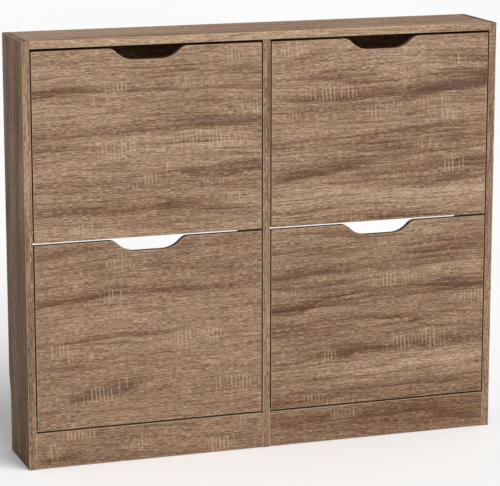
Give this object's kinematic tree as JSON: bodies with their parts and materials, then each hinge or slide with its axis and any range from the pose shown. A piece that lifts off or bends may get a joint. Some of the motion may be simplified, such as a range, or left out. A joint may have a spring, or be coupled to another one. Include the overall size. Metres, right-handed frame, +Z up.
{
  "type": "shoe cabinet",
  "caption": "Slim free-standing shoe cabinet with a plinth, a centre divider and tilt-out flaps with finger cut-outs that carry shoe pockets.",
  "frame": {"origin": "centre of the footprint, on the floor", "axes": "+X to the right when facing the flaps, +Y to the back, +Z up"},
  "size_m": [1.04, 0.17, 0.893],
  "materials": {
    "oak_upright": "satin grey-brown oak-effect foil, grain upright",
    "oak_top": "satin grey-brown oak-effect foil, grain along the width",
    "oak_plinth": "satin grey-brown oak-effect foil, grain along the width",
    "oak_rail": "satin grey-brown oak-effect foil, grain along the width",
    "oak_flap": "satin grey-brown oak-effect foil with saw marks, grain along the width",
    "oak_shelf": "satin grey-brown oak-effect foil, grain along the width",
    "black_plastic": "fine-textured moulded black plastic",
    "steel": "bright drawn steel",
    "zinc": "zinc-plated die-casting and screws",
    "beech": "raw fluted beech dowel"
  },
  "bodies": {
    "carcass": {"left_side": "oak_upright", "right_side": "oak_upright", "divider": "oak_upright", "top_panel": "oak_top", "left_plinth": "oak_plinth", "right_plinth": "oak_plinth", "upper_left_rail": "oak_rail", "upper_right_rail": "oak_rail", "lower_left_rail": "oak_rail", "lower_right_rail": "oak_rail", "pivot_bushes": "black_plastic", "guide_pegs": "steel", "cam_housings": "zinc", "connecting_bolts": "steel", "dowels": "beech"},
    "upper_left_door": {"upper_left_flap": "oak_flap", "upper_left_bracket_left": "black_plastic", "upper_left_bracket_right": "black_plastic", "upper_left_shelf": "oak_shelf", "upper_left_bars": "steel", "upper_left_pivot_pins": "steel", "upper_left_screws": "zinc"},
    "upper_right_door": {"upper_right_flap": "oak_flap", "upper_right_bracket_left": "black_plastic", "upper_right_bracket_right": "black_plastic", "upper_right_shelf": "oak_shelf", "upper_right_bars": "steel", "upper_right_pivot_pins": "steel", "upper_right_screws": "zinc"},
    "lower_left_door": {"lower_left_flap": "oak_flap", "lower_left_bracket_left": "black_plastic", "lower_left_bracket_right": "black_plastic", "lower_left_shelf": "oak_shelf", "lower_left_bars": "steel", "lower_left_pivot_pins": "steel", "lower_left_screws": "zinc"},
    "lower_right_door": {"lower_right_flap": "oak_flap", "lower_right_bracket_left": "black_plastic", "lower_right_bracket_right": "black_plastic", "lower_right_shelf": "oak_shelf", "lower_right_bars": "steel", "lower_right_pivot_pins": "steel", "lower_right_screws": "zinc"}
  },
  "joints": [
    {"name": "upper_left_tilt", "type": "hinge", "parent": "carcass", "child": "upper_left_door", "pos_m": [-0.256, -0.077, 0.501], "axis": [1, 0, 0], "range_deg": [0, 45]},
    {"name": "upper_right_tilt", "type": "hinge", "parent": "carcass", "child": "upper_right_door", "pos_m": [0.256, -0.077, 0.501], "axis": [1, 0, 0], "range_deg": [0, 45]},
    {"name": "lower_left_tilt", "type": "hinge", "parent": "carcass", "child": "lower_left_door", "pos_m": [-0.256, -0.077, 0.1035], "axis": [1, 0, 0], "range_deg": [0, 45]},
    {"name": "lower_right_tilt", "type": "hinge", "parent": "carcass", "child": "lower_right_door", "pos_m": [0.256, -0.077, 0.1035], "axis": [1, 0, 0], "range_deg": [0, 45]}
  ]
}
